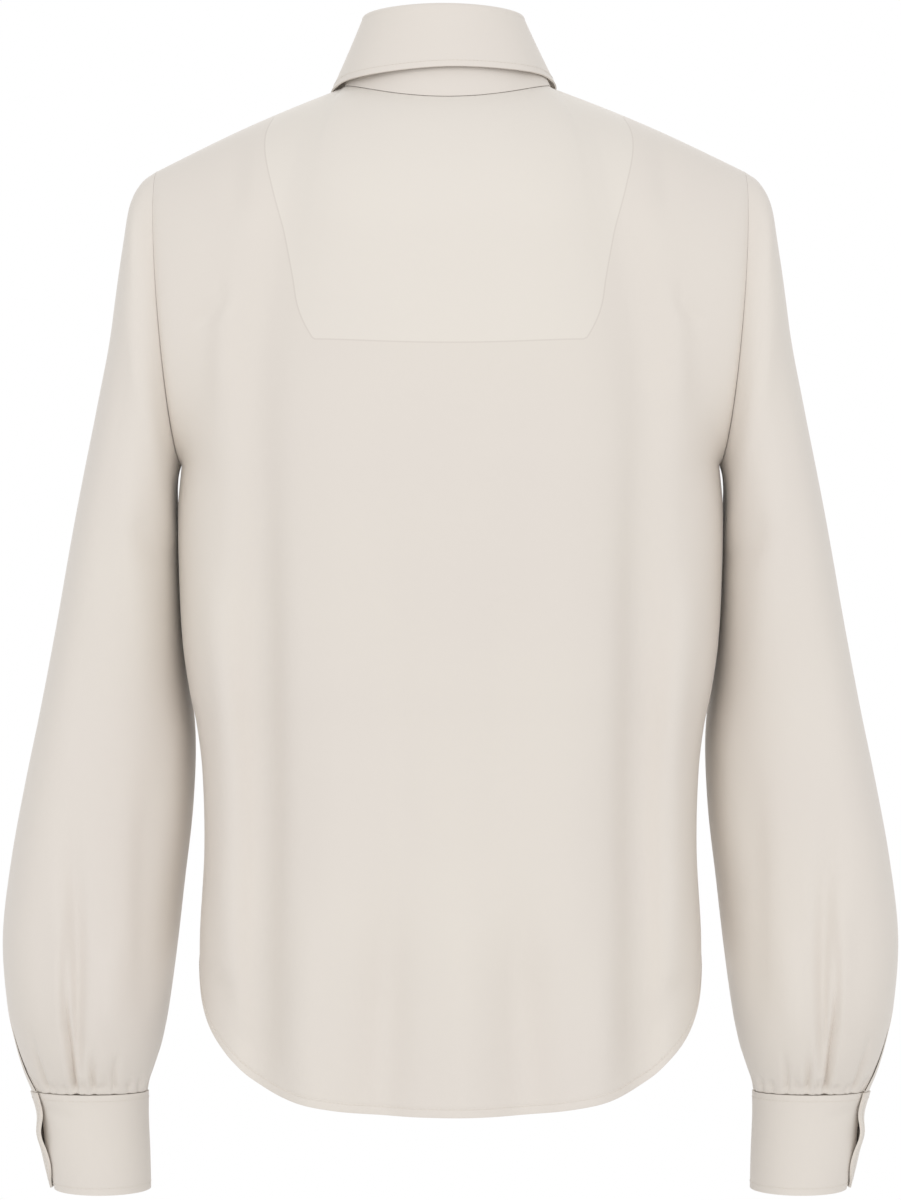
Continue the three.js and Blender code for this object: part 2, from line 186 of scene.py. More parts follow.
# %% [markdown]
# ## The cut and the form
# A maker cuts flat panels, but what matters here is how they hang. Each panel is a surface worked
# out from a few sections: the torso from the underarm down, rings for the collar and the sleeves,
# and a roll over the shoulder. The sizes are in millimetres, as in a workroom, and the meshes are
# scaled to metres as they are made.

# %% Sizes
MM = 0.001
SILK = 0.4
CUFF_SILK = 1.5

TIP = Sizes(x=187, y=3, z=-47)
UNDERARM = Sizes(x=171.5, y=0, z=-235)
ARMHOLE_BOW = Sizes(back=5, front=4)
PANEL_GAP = 0.8
NECK_PART = 6 / 13
SHOULDER_RISE = 2.5
ROLL_SHARE = 0.5
ROLL_DROP = 0.39
SHOULDER_LEAN = math.radians(15)
NECK_LEAN = Sizes(back=math.radians(38), front=math.radians(52))
SECTION_POWER = 0.8
HEM = Sizes(side=-551, back=-641, front=-628, power=2.75)
FRONT_LAP = 0.05
LAYER_STEP = 2

NECK = Sizes(shift=-2, half=66, middle=-4, reach=58, side=6, back=-6, front=-72)
FOLD = Sizes(shift=-4.5, half=47.5, middle=-2, reach=43, side=49, back=51.2, front=-26)
STAND_SEAM = Sizes(up=0.9, inward=0.5)
STAND_END = math.radians(192)
FALL_ROLL = Sizes(out=4.2, up=1.8, lift=2.6)
FALL_BELLY = 5
FALL_TILT = 2.2
FALL_END = math.radians(175)
FACING = Sizes(step=1.6, top=0.035, end=(7 / 9) ** 1.2, wide=0.66, narrow=0.4)
SLEEVE_SEAM = Sizes(top=0.4, underarm=0.7)
SLIT = Sizes(turn=0.14, row=13, over=0.3, lift=2)
SLEEVE_END = 16
CUFF_START = -0.5
CUFF_RAMP = 0.55
CUFF_LAP = 2.6
CUFF_AHEAD = 8
SLEEVE_FULL = 0.35


def table(names, *rows):
    """A table's columns by name."""
    return dict(zip(names.split(), np.array(rows, float).T))


TORSO = table(
    "z side back front",
    (-235, 171.5, 103, 114), (-262, 173.8, 102.2, 115), (-300, 173.4, 101, 116),
    (-347, 171, 99, 114),
    (-379, 166.5, 98, 112), (-400, 162, 97, 110), (-430, 158.3, 97, 109),
    (-480, 157, 98, 109), (-540, 160, 102, 112), (-645, 159, 106, 116),
)
SLEEVE = table(
    "row out_x out_z in_x in_z half bow out_y in_y",
    (0, 187, -47, 171.5, -235, 50, 1, 0, 0), (1, 196.5, -54, 173.6, -240, 54, 0.9, 0, 0),
    (2, 203.5, -67, 174.6, -246, 57, 0.7, 0, 4), (3, 208, -90, 175.2, -254, 59, 0.5, 0, 10),
    (4, 213.5, -120, 175, -266, 60, 0.3, 0, 17), (5, 220, -160, 173.7, -284, 60, 0.1, 1, 26),
    (6, 229, -210, 172.8, -308, 60, 0, 2, 36), (7, 240, -270, 170.9, -340, 59, 0, 3, 42),
    (8, 251, -332, 168.4, -376, 58, 0, 4, 44), (9, 262, -390, 165.7, -412, 58, 0, 5, 40),
    (10, 272, -438, 166.8, -450, 59, 0, 6, 34), (11, 281, -487, 171, -494, 61, 0, 7, 28),
    (12, 286.5, -535, 175.5, -538, 62, 0, 8, 21), (13, 284, -577, 180.5, -578, 60, 0, 8, 15),
    (14, 278.5, -603, 185, -604, 53, 0, 8, 11), (15, 272.5, -622, 190.5, -622, 43, 0, 8, 8),
    (16, 266.5, -635.4, 194.3, -635.4, 32, 0, 8, 8),
)
CUFF = table(
    "z out_x in_x half",
    (-636.6, 266, 194.3, 31.5), (-652, 261.5, 194.3, 29.5),
    (-677, 258.5, 193.3, 28.5), (-700, 253, 192.8, 28),
)
FALL_EDGE = table(
    "turn x y z",
    (-45, -49.4, -44.9, 11), (0, 0, -60.2, 13.5), (45, 49.4, -44.9, 11), (90, 70, -4, 7.6), (115, 72, 30, -1),
    (140, 66, 64, -29), (160, 56, 84, -62), (175, 46, 98, -87),
)
LONG_FOLDS = table(
    "across half sink top full",
    (0.54, 0.085, 6, -90, -330), (0.68, 0.075, -3, -150, -300), (0.33, 0.09, -2, -260, -450),
)

# %% Surface tools
def lerp(a, b, t):
    return a + (b - a) * t


def smoothstep(x, low, high):
    t = np.clip((x - low) / (high - low), 0, 1)
    return t * t * (3 - 2 * t)


def point(x, y, z):
    return np.stack(np.broadcast_arrays(x, y, z), axis=-1).astype(float)


def read(rows, key, at, column):
    """A column of a table, read smoothly at places along its key column."""
    knots, values = rows[key], rows[column]
    if knots[0] > knots[-1]:
        knots, values = knots[::-1], values[::-1]
    slopes = np.empty_like(values)
    slopes[1:-1] = (values[2:] - values[:-2]) / (knots[2:] - knots[:-2])
    slopes[[0, -1]] = (np.diff(values) / np.diff(knots))[[0, -1]]
    i = np.clip(np.searchsorted(knots, at) - 1, 0, len(knots) - 2)
    span = knots[i + 1] - knots[i]
    t = (at - knots[i]) / span
    bend = t * (1 - t) * span * (slopes[i] * (1 - t) - slopes[i + 1] * t)
    return lerp(values[i], values[i + 1], t * t * (3 - 2 * t)) + bend


def normal_of(surface, u, v):
    """The unit normal of a surface at its places."""
    e = 1e-3
    along = surface(u + e, v) - surface(u - e, v)
    down = surface(u, v + e) - surface(u, v - e)
    normal = np.cross(along, down)
    return normal / np.linalg.norm(normal, axis=-1, keepdims=True)


def moved(surface, distance):
    """The same surface, moved along its normals."""
    return lambda u, v: surface(u, v) + normal_of(surface, u, v) * distance


# %% Collar rings, sleeve rings and panels
def collar_ring(ring, turn):
    """A ring round the neck: turn 0 at the centre back, a quarter turn at the wearer's right."""
    behind = np.maximum(0, np.cos(turn))
    ahead = np.maximum(0, -np.cos(turn))
    z = ring.side + (ring.back - ring.side) * behind**2 + (ring.front - ring.side) * ahead**1.25
    return point(ring.shift + ring.half * np.sin(turn), ring.middle - ring.reach * np.cos(turn), z)


def outward(turn):
    """Points away from the neck, level, at a turn of the collar."""
    return point(np.sin(turn), -np.cos(turn), 0)


def sleeve_ring(side, row, turn):
    """A sleeve's surface: turn 0 is at the outer side, and positive turns go to the back."""
    def at(column):
        return read(SLEEVE, "row", row, column)

    inward = (1 - np.cos(turn)) / 2
    back = np.sin(turn)
    bow = at("bow") * np.abs(back) * np.where(back > 0, ARMHOLE_BOW.back, ARMHOLE_BOW.front)
    tip_y = TIP.y * np.maximum(0, 1 - row / 4) * (1 - inward)
    x = lerp(at("out_x"), at("in_x"), inward) + bow
    z = lerp(at("out_z"), at("in_z"), inward)
    full = SLEEVE_FULL * smoothstep(row, 0, 4) * (1 - smoothstep(row, 12, 15.5))
    behind = np.where(back > 0, back * (1 + full * (1 - back**2)), back)
    ahead = lerp(at("out_y"), at("in_y"), np.where(back > 0, inward**3, inward))
    return point(side * x, tip_y + ahead - at("half") * behind, z)


def torso(face, across, z):
    """The torso's section at a height, from the underarm down."""
    swing = across * np.pi / 2
    depth = read(TORSO, "z", z, "back" if face < 0 else "front")
    for place, half, sink, top, full in zip(*LONG_FOLDS.values()):
        apart = (np.abs(across) - place) / half
        depth = depth - sink * np.exp(-(apart**2)) * smoothstep(-z, -top, -full)
    level = np.maximum(0, np.cos(swing)) ** SECTION_POWER
    return point(read(TORSO, "z", z, "side") * np.sin(swing), face * depth * level, z)


def sign(across):
    return np.where(across < 0, -1.0, 1.0)


def top_edge(face, across):
    """The upper edge of a panel: the neckline, then the shoulder seam to its tip."""
    side = sign(across)
    share = np.abs(across) / NECK_PART
    quarter = np.minimum(share, 1) * np.pi / 2
    neck = collar_ring(NECK, side * (quarter if face < 0 else np.pi - quarter))
    out = np.maximum(0, (np.abs(across) - NECK_PART) / (1 - NECK_PART))
    seam = lerp(neck, point(side * TIP.x, TIP.y, TIP.z), out[..., None])
    seam[..., 2] += SHOULDER_RISE * np.sin(out * np.pi)
    return seam


def eased_edge(face, across):
    """The upper edge with the corners at the neck eased, for the cloth below it."""
    taps = ((-0.14, 1), (-0.07, 2), (0, 3), (0.07, 2), (0.14, 1))
    return sum(top_edge(face, across + step) * share for step, share in taps) / 9


def yoke(face, across, down):
    """A panel above the underarm before its side is drawn in to the armhole."""
    easing = smoothstep(down, 0, 0.3)[..., None]
    top = lerp(top_edge(face, across), eased_edge(face, across), easing)
    low = torso(face, across, UNDERARM.z)
    neckness = 1 - smoothstep(np.abs(across), NECK_PART * 0.5, NECK_PART)
    lean = lerp(SHOULDER_LEAN, NECK_LEAN.back if face < 0 else NECK_LEAN.front, neckness)
    turn = lerp(lean, np.pi / 2, np.minimum(1, down / ROLL_SHARE))
    out = (np.sin(turn) - np.sin(lean)) / (1 - np.sin(lean))
    below = np.maximum(0, (down - ROLL_SHARE) / (1 - ROLL_SHARE))
    rolled = ROLL_DROP * (np.cos(lean) - np.cos(turn)) / np.cos(lean)
    shares = np.stack(np.broadcast_arrays(down, out, rolled + (1 - ROLL_DROP) * below), axis=-1)
    return lerp(top, low, shares)


def panel(face, across, down):
    """A body panel: across -1 to 1 between the side seams, down 0 to 2 from neck to hem."""
    across, down = np.broadcast_arrays(across, down)
    hem = lerp(HEM.back if face < 0 else HEM.front, HEM.side, np.abs(across) ** HEM.power)
    lower = torso(face, across, lerp(UNDERARM.z, hem, down - 1))
    side = sign(across)
    drawn = np.maximum(0, (np.abs(across) - 0.4) / 0.6) ** 2
    pull = sleeve_ring(side, 0.0 * down, -face * np.pi * down) - yoke(face, side, down)
    upper = yoke(face, across, down) + pull * drawn[..., None]
    return np.where((down >= 1)[..., None], lower, upper) + [0, face * PANEL_GAP / 2, 0]


# %% [markdown]
# ## Soft folds
# Silk hangs in long soft folds with no sharp edge, and each one differs in length, depth and
# width. A fold here is a short curve on a panel, from one end to the other with a bow between,
# and the cloth sinks or rises along it in a smooth bell that fades out at the ends. Cloth
# simulation could make folds too, but laid one by one they fall where this blouse has them.

# %% Fold maths
def soft_folds(x, z, folds):
    """How far the folds lift the cloth at places in a panel's own upright plane."""
    lift = np.zeros(np.broadcast(x, z).shape)
    for x0, z0, x1, z1, bow, half, flare, rise, fade_in, fade_out in zip(*folds.values()):
        length = math.hypot(x1 - x0, z1 - z0)
        along = ((x - x0) * (x1 - x0) + (z - z0) * (z1 - z0)) / length**2
        apart = ((x - x0) * (z0 - z1) + (z - z0) * (x1 - x0)) / length
        apart = apart - bow * 4 * along * (1 - along)
        width = half * lerp(1, flare, np.clip(along, 0, 1))
        ends = smoothstep(along, 0, fade_in) * (1 - smoothstep(along, 1 - fade_out, 1))
        lift += rise * ends * np.exp(-((apart / width) ** 2))
    return lift


def both_sides(folds, share=1.0):
    """The same folds, and their mirror image."""
    mirrored = dict(folds)
    for name in ("x0", "x1", "bow"):
        mirrored[name] = -folds[name]
    mirrored["rise"] = folds["rise"] * share
    return {name: np.concatenate([folds[name], mirrored[name]]) for name in folds}


FOLD_COLUMNS = "x0 z0 x1 z1 bow half flare rise fade_in fade_out"
BACK_FOLDS = both_sides(table(
    FOLD_COLUMNS,
    (120, -95, 124, -640, -2, 13, 1.4, -8.5, 0.5, 0.08),
    (96, -240, 100, -640, 2, 13, 1.2, 2.0, 0.4, 0.1),
    (142, -118, 144, -215, 0, 8, 1, 2.0, 0.3, 0.4),
    (150, -210, 147, -345, 2, 12, 1, -3.0, 0.4, 0.4),
    (143, -340, 144, -560, -2, 9, 1, 2.5, 0.3, 0.3),
    (165, -151, 142, -118, 8, 5, 1, -2.2, 0.4, 0.4),
    (134, -20, 136, -95, 0, 8, 1, -1.6, 0.4, 0.5),
    (68, -150, 72, -600, 2, 20, 1, 2.4, 0.4, 0.2),
    (40, -190, 22, -600, 3, 15, 0.8, -1.6, 0.4, 0.3),
))
BACK_HEM_FOLDS = table(
    FOLD_COLUMNS,
    (-40, -470, -45, -650, 2, 12, 1.6, -10.0, 0.6, 0.02),
    (41, -480, 50, -650, -2, 12, 1.7, -10.0, 0.6, 0.02),
    (3, -470, 5, -650, 1, 14, 1.1, 3.4, 0.6, 0.02),
    (-86, -500, -88, -640, -1, 12, 1.1, 3.4, 0.5, 0.02),
    (88, -520, 92, -640, 1, 12, 1.1, 3.0, 0.5, 0.02),
    (-150, -548, -138, -610, 2, 8, 1, -2.2, 0.3, 0.3),
    (151, -552, 132, -600, -2, 8, 1, -1.8, 0.3, 0.3),
)
FRONT_FOLDS = both_sides(table(
    FOLD_COLUMNS,
    (112, -90, 120, -600, 3, 11, 1.4, -3.4, 0.5, 0.2),
    (150, -150, 84, -190, -9, 10, 1.4, -3.0, 0.3, 0.6),
    (152, -172, 104, -262, -7, 9, 1.5, 2.2, 0.3, 0.6),
    (86, -260, 92, -620, -3, 15, 1.2, 2.2, 0.4, 0.1),
    (62, -330, 56, -620, 2, 13, 1.3, -2.6, 0.5, 0.05),
    (146, -230, 140, -360, -2, 14, 1, -3.0, 0.4, 0.4),
    (134, -350, 138, -560, 2, 9, 1, 2.2, 0.3, 0.3),
), 0.8)


def still_centre(x, half=16.0, over=26.0):
    """Holds the cloth flat near the centre front, where the buttons hold it."""
    return smoothstep(np.abs(x), half, half + over)


def back_cloth(across, down):
    """The back with its folds."""
    flat = panel(-1, across, down)
    x, z = flat[..., 0], flat[..., 2]
    lift = soft_folds(x, z, BACK_FOLDS) + soft_folds(x, z, BACK_HEM_FOLDS)
    sewn = smoothstep(1 - np.abs(across), 0, 0.06) * smoothstep(down, 0, 0.12)
    return flat - normal_of(lambda a, d: panel(-1, a, d), across, down) * (lift * sewn)[..., None]


def front_cloth(across, down):
    """The right front with its folds, and the left one past the centre."""
    flat = panel(1, across, down)
    x, z = flat[..., 0], flat[..., 2]
    sewn = smoothstep(1 - np.abs(across), 0, 0.06) * smoothstep(down, 0, 0.12) * still_centre(x)
    lift = soft_folds(x, z, FRONT_FOLDS) * sewn
    return flat + normal_of(lambda a, d: panel(1, a, d), across, down) * lift[..., None]


def left_front_cloth(across, down):
    """The left front, which steps in under the right one near the centre."""
    under = LAYER_STEP * smoothstep(across, -0.3, -0.06)
    normal = normal_of(lambda a, d: panel(1, a, d), across, down)
    return front_cloth(across, down) - normal * under[..., None]


# %% [markdown]
# ## The silk
# Crepe silk is matt with a faint glow at its edges, and its surface is a fine irregular pebble
# of twisted threads. Its ivory drifts a little between cream and rose grey. The pebble is far too
# fine to model, so it is bump. Where the facing lies behind the back, the light that shows through
# the thin silk is painted into the back's colour: a fine line of painted shade along the facing's
# edge, and a painted lighter shade over the doubled cloth.

# %% Silk material
CREAM = (0.802, 0.752, 0.682, 1)
ROSE_GREY = (0.772, 0.715, 0.668, 1)
# Painted shade and painted light for the facing seen through the back.
PAINTED_FACING_EDGE_SHADE = (0.62, 0.56, 0.51, 1)
PAINTED_SHOW_THROUGH_LIGHT = (0.835, 0.79, 0.725, 1)
PEBBLE = Sizes(scale=1500.0, slub=(420.0, 1500.0, 1.0), depth=0.00006, strength=0.35)


def silk_material(name, over_facing=False):
    """Ivory crepe silk. over_facing paints in the facing behind it: painted shade along its edge, painted
    lighter shade over the doubled cloth.
    """
    g = Graph(bpy.data.materials.new(name))
    uv = g.node("ShaderNodeUVMap", {"uv_map": "cloth"})
    place = g.node("ShaderNodeTexCoord", output=3)
    drift = g.node("ShaderNodeTexNoise", inputs={"Vector": place, "Scale": 7.0, "Detail": 2.0})
    colour = g.blend(drift, CREAM, ROSE_GREY)
    if over_facing:
        reach = g.node("ShaderNodeAttribute", {"attribute_name": "facing_reach"}, output=2)
        inside = g.node("ShaderNodeMath", {"operation": "DIVIDE", "use_clamp": True},
                        {0: reach + 0.0004, 1: 0.0008})
        # Painted lighter shade where the facing lies behind, standing in for light coming back through the
        # silk.
        colour = g.blend(inside * 0.45, colour, PAINTED_SHOW_THROUGH_LIGHT)
        # Painted shade: a fine dark line along the facing's edge.
        near = g.node("ShaderNodeMath", {"operation": "SUBTRACT", "use_clamp": True},
                      {0: 1.0, 1: reach.math("ABSOLUTE") / 0.0007})
        colour = g.blend(near * 0.5, colour, PAINTED_FACING_EDGE_SHADE)
    pebble = g.node("ShaderNodeTexNoise",
                    inputs={"Vector": uv, "Scale": PEBBLE.scale, "Detail": 2.0, "Roughness": 0.6})
    stretched = g.node("ShaderNodeVectorMath", {"operation": "MULTIPLY"}, {0: uv, 1: PEBBLE.slub})
    slub = g.node("ShaderNodeTexNoise", inputs={"Vector": stretched, "Scale": 1.0, "Detail": 2.0})
    bump = g.node("ShaderNodeBump", inputs={
        "Height": pebble + slub * 0.8, "Distance": PEBBLE.depth, "Strength": PEBBLE.strength})
    rough = pebble * 0.12 + 0.5
    silk = g.node("ShaderNodeBsdfPrincipled", inputs={
        "Base Color": colour, "Roughness": rough, "Normal": bump,
        "Specular IOR Level": 0.35, "Sheen Weight": 0.4, "Sheen Roughness": 0.4,
        "Sheen Tint": (1.0, 0.97, 0.93, 1)})
    return g.finish("ShaderNodeOutputMaterial", silk)


silk = silk_material("ivory_silk")
silk_painted_show_through = silk_material("ivory_silk_painted_show_through", over_facing=True)

# %% Thread and shell materials
def thread_material():
    """Matt cream sewing thread, twisted."""
    g = Graph(bpy.data.materials.new("cream_thread"))
    place = g.node("ShaderNodeTexCoord", output=3)
    twist = g.node("ShaderNodeTexNoise", inputs={"Vector": place, "Scale": 2600.0})
    colour = g.blend(twist, (0.74, 0.69, 0.62, 1), (0.83, 0.78, 0.71, 1))
    bump = g.node("ShaderNodeBump", inputs={"Height": twist, "Distance": 0.00005, "Strength": 0.5})
    matte = g.node("ShaderNodeBsdfPrincipled", inputs={
        "Base Color": colour, "Roughness": 0.6, "Normal": bump, "Sheen Weight": 0.1})
    return g.finish("ShaderNodeOutputMaterial", matte)


def shell_material():
    """Mother-of-pearl: cloudy cream with faint rose and green, under a clear polish."""
    g = Graph(bpy.data.materials.new("pearl_shell"))
    place = g.node("ShaderNodeTexCoord", output=3)
    cloud = g.node("ShaderNodeTexNoise",
                   inputs={"Vector": place, "Scale": 260.0, "Detail": 4.0, "Distortion": 1.5})
    hue = g.node("ShaderNodeTexNoise", inputs={"Vector": place, "Scale": 420.0, "Distortion": 3.0})
    colour = g.blend(cloud, (0.86, 0.82, 0.75, 1), (0.78, 0.77, 0.72, 1))
    tint = g.blend(hue, (0.88, 0.78, 0.76, 1), (0.76, 0.84, 0.79, 1))
    colour = g.blend(0.3, colour, tint)
    polished = g.node("ShaderNodeBsdfPrincipled", inputs={
        "Base Color": colour, "Roughness": cloud * 0.15 + 0.2, "Coat Weight": 0.6,
        "Coat Roughness": 0.08})
    return g.finish("ShaderNodeOutputMaterial", polished)


thread = thread_material()
pearl = shell_material()

# %% [markdown]
# ## Making a sheet
# A sheet starts as a grid of points on its surface. Its edges that are sewn to a neighbour turn
# in a few millimetres, as a seam allowance does, which closes the seam to a fine line. The grid
# then gets its thickness from a Solidify modifier. A grid written in code is used instead of a
# sculpted plane, because its points must lie on the worked-out form.

# %% Sheet maker
ALLOWANCE = (0.5, 1.6, 4.5)


def lengths_along(points, axis):
    """The distance run along each grid line, from its start."""
    steps_ = np.linalg.norm(np.diff(points, axis=axis), axis=-1)
    start = np.zeros_like(np.take(steps_, [0], axis=axis))
    return np.cumsum(np.concatenate([start, steps_], axis=axis), axis=axis)


def turn_in(points, normals, edges):
    """Adds a seam allowance behind the named edges of a grid: u0, u1, v0 or v1."""
    for edge in edges:
        axis, last = (0 if edge[0] == "u" else 1), edge[1] == "1"
        take = -1 if last else 0
        rim = np.take(points, [take], axis=axis)
        back = -np.take(normals, [take], axis=axis)
        rows = [rim + back * depth for depth in ALLOWANCE]
        keep = [np.take(normals, [take], axis=axis)] * len(rows)
        if last:
            points = np.concatenate([points, *rows], axis=axis)
            normals = np.concatenate([normals, *keep], axis=axis)
        else:
            points = np.concatenate([*rows[::-1], points], axis=axis)
            normals = np.concatenate([*keep, normals], axis=axis)
    return points, normals


def select_only(obj):
    bpy.ops.object.select_all(action="DESELECT")
    obj.select_set(True)
    bpy.context.view_layer.objects.active = obj


def grid_object(name, points, flip):
    """A mesh object on a grid of points in millimetres, with a cloth UV map in metres."""
    nu, nv = points.shape[:2]
    index = np.arange(nu * nv).reshape(nu, nv)
    quads = np.stack([index[:-1, :-1], index[1:, :-1], index[1:, 1:], index[:-1, 1:]], axis=-1)
    quads = quads.reshape(-1, 4)
    if flip:
        quads = quads[:, ::-1]
    mesh = bpy.data.meshes.new(name)
    mesh.from_pydata((points.reshape(-1, 3) * MM).tolist(), [], quads.tolist())
    spread = np.stack([lengths_along(points, 0), lengths_along(points, 1)], axis=-1) * MM
    mesh.uv_layers.new(name="cloth").data.foreach_set(
        "uv", spread.reshape(-1, 2)[quads.ravel()].ravel())
    obj = bpy.data.objects.new(name, mesh)
    bpy.context.collection.objects.link(obj)
    return obj


def add_modifier(obj, kind, **settings):
    select_only(obj)
    modifier = obj.modifiers.new(kind.lower(), kind)
    for key, value in settings.items():
        setattr(modifier, key, value)
    bpy.ops.object.modifier_apply(modifier=modifier.name)


def sheet(node, surface, us, vs, face_out, material, sewn=(), thickness=SILK, values=None):
    """A piece of cloth. face_out is 1 where the surface's own normal points out, or -1."""
    u, v = np.meshgrid(us, vs, indexing="ij")
    points = surface(u, v)
    normals = normal_of(surface, u, v) * face_out
    points, normals = turn_in(points, normals, sewn)
    obj = grid_object("silk_" + node, points, face_out < 0)
    for key, made in (values or {}).items():
        layer = obj.data.attributes.new(key, "FLOAT", "POINT")
        layer.data.foreach_set("value", made(points).ravel())
    select_only(obj)
    bpy.ops.object.mode_set(mode="EDIT")
    bpy.ops.mesh.select_all(action="SELECT")
    bpy.ops.mesh.remove_doubles(threshold=0.00002)
    bpy.ops.object.mode_set(mode="OBJECT")
    add_modifier(obj, "SOLIDIFY", thickness=thickness * MM, offset=0, use_rim=True)
    bpy.ops.object.shade_smooth_by_angle(angle=math.radians(50))
    obj.data.materials.append(material)
    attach(obj, "root")
    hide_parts(node)
    print(obj.name, len(obj.data.polygons), "faces")
    return obj


def spread(first, last, count, power=1.0):
    return lerp(first, last, np.linspace(0, 1, count + 1) ** power)



# %% [markdown]
# ## Stitches
# Each seam that shows on a real blouse is a row of single stitches, each a short bead of thread
# that rises a little from the cloth. They are small and many, so each bead has only three rings
# of four corners, and a whole row is one mesh.

# %% Stitch maker
STITCH = Sizes(pitch=2.6, length=1.9, radius=0.17, arch=0.1)
BEAD_RINGS = ((-0.5, 0.45, 0.0), (0.0, 1.0, 1.0), (0.5, 0.45, 0.0))


def stitches(name, surface, u, v, face_out, thickness=SILK):
    """A row of stitches on the outer face of a sheet, along the places u and v."""
    path = surface(u, v)
    out = normal_of(surface, u, v) * face_out
    path = path + out * (thickness / 2 + STITCH.radius * 0.4)
    run = lengths_along(path, 0)
    middles = np.arange(STITCH.pitch, run[-1] - STITCH.pitch, STITCH.pitch)

    def at(places, what):
        return np.stack([np.interp(places, run, what[:, i]) for i in range(3)], axis=-1)

    along = at(middles + 0.5, path) - at(middles - 0.5, path)
    along /= np.linalg.norm(along, axis=-1, keepdims=True)
    up = at(middles, out)
    across = np.cross(along, up)
    rings = []
    for step, width, rise in BEAD_RINGS:
        centre = at(middles + step * STITCH.length, path) + up * STITCH.arch * rise
        rings += [centre + (up * a + across * b) * STITCH.radius * width
                  for a, b in ((1, 0), (0, 1), (-1, 0), (0, -1))]
    corners = np.stack(rings, axis=1)
    sides = [(r + k, r + (k + 1) % 4, r + 4 + (k + 1) % 4, r + 4 + k) for r in (0, 4) for k in range(4)]
    bead = np.array([*sides, (3, 2, 1, 0), (8, 9, 10, 11)])
    faces = (bead + 12 * np.arange(len(middles))[:, None, None]).reshape(-1, 4)
    mesh = bpy.data.meshes.new(name)
    mesh.from_pydata((corners.reshape(-1, 3) * MM).tolist(), [], faces.tolist())
    row = bpy.data.objects.new(name, mesh)
    bpy.context.collection.objects.link(row)
    select_only(row)
    bpy.ops.object.mode_set(mode="EDIT")
    bpy.ops.mesh.select_all(action="SELECT")
    bpy.ops.mesh.normals_make_consistent(inside=False)
    bpy.ops.object.mode_set(mode="OBJECT")
    row.data.materials.append(thread)
    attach(row, "root")
    print(name, len(middles), "stitches")
    return row


# %% [markdown]
# ## Back, with its facing
# The back is one panel with a shirt-tail hem. Behind the neck a half-moon of the same silk is
# stitched inside it, so that no raw neckline shows when the blouse hangs open.

# %% Back
HEM_ROWS = np.array([18, 12, 9, 7.5, 6.5, 5.9, 5.4, 5.0, 4.5, 3.5, 2, 1, 0.4, 0]) / 400
BODY_DOWN = np.concatenate([spread(0, 1, 66, 1.2), spread(1, 1.95, 96)[1:], 2 - HEM_ROWS])
BACK_ACROSS = spread(-1, 1, 180)
HEM_LIFT = 0.28


def hemmed(surface, face_out):
    """The surface with a narrow hem turned up at its lower edge."""
    def with_hem(across, down):
        up = (2 - down) * 400
        fold = smoothstep(up, 5.6, 4.6) * smoothstep(up, -0.6, 0.6)
        dip = np.exp(-(((up - 5.6) / 0.6) ** 2))
        lift = HEM_LIFT * fold - 0.15 * dip
        return surface(across, down) + normal_of(surface, across, down) * (face_out * lift)[..., None]
    return with_hem


def facing_cloth(across, down):
    """The half-moon facing: across -1 to 1 over its width, down as the back's own."""
    share = down / FACING.end
    narrowing = smoothstep(share, 0.15, 1.15)
    round_ = np.sqrt(1 - np.maximum(0, (share - 0.86) / 0.3) ** 2)
    width = lerp(FACING.wide, FACING.narrow, narrowing) * round_
    return moved(back_cloth, FACING.step)(across * width, down)


def facing_reach(points):
    """How far inside the facing's edge each point of the back lies, in metres."""
    side_down = spread(FACING.top, FACING.end, 40)
    foot = np.linspace(1, -1, 41)
    outline = np.concatenate([
        facing_cloth(np.full(41, 1.0), side_down), facing_cloth(foot, np.full(41, FACING.end)),
        facing_cloth(np.full(41, -1.0), side_down[::-1])])[:, [0, 2]]
    flat = points[..., [0, 2]].reshape(-1, 2)
    nearest = np.full(len(flat), 1e9)
    crossings = np.zeros(len(flat), int)
    for a, b in zip(outline[:-1], outline[1:]):
        along = np.clip(((flat - a) @ (b - a)) / max(((b - a) ** 2).sum(), 1e-9), 0, 1)
        nearest = np.minimum(nearest, np.linalg.norm(flat - a - along[:, None] * (b - a), axis=1))
        spans = (a[0] > flat[:, 0]) != (b[0] > flat[:, 0])
        height = a[1] + (flat[:, 0] - a[0]) * (b[1] - a[1]) / ((b[0] - a[0]) or 1e-9)
        crossings += spans & (height < flat[:, 1])
    inside = np.where(crossings % 2 == 1, 1.0, -1.0)
    return (nearest * inside * MM).reshape(points.shape[:-1])


back = sheet("back", hemmed(back_cloth, -1), BACK_ACROSS, BODY_DOWN, -1, silk_painted_show_through,
             sewn=("u0", "u1", "v0"), values={"facing_reach": facing_reach})
HEM_ROW = 2 - 4.9 / 400
back_hem = stitches("stitches_back_hem", hemmed(back_cloth, -1), spread(-0.985, 0.985, 300),
                    np.full(301, HEM_ROW), -1)

facing = sheet("back_facing", facing_cloth, spread(-1, 1, 60), spread(FACING.top, FACING.end, 50),
               -1, silk)

# %% [markdown]
# ## Fronts
# The right front laps over the left one, and each has the same narrow hem as the back. On the
# blouse each front's edge is turned and stitched down a thumb's width in; here the turn is not
# shaped, and only the right front gets its row of stitches.

# %% Fronts
PLACKET = 0.094
FRONT_ACROSS = np.concatenate([[-FRONT_LAP, -FRONT_LAP / 2], spread(0, 1, 96)])

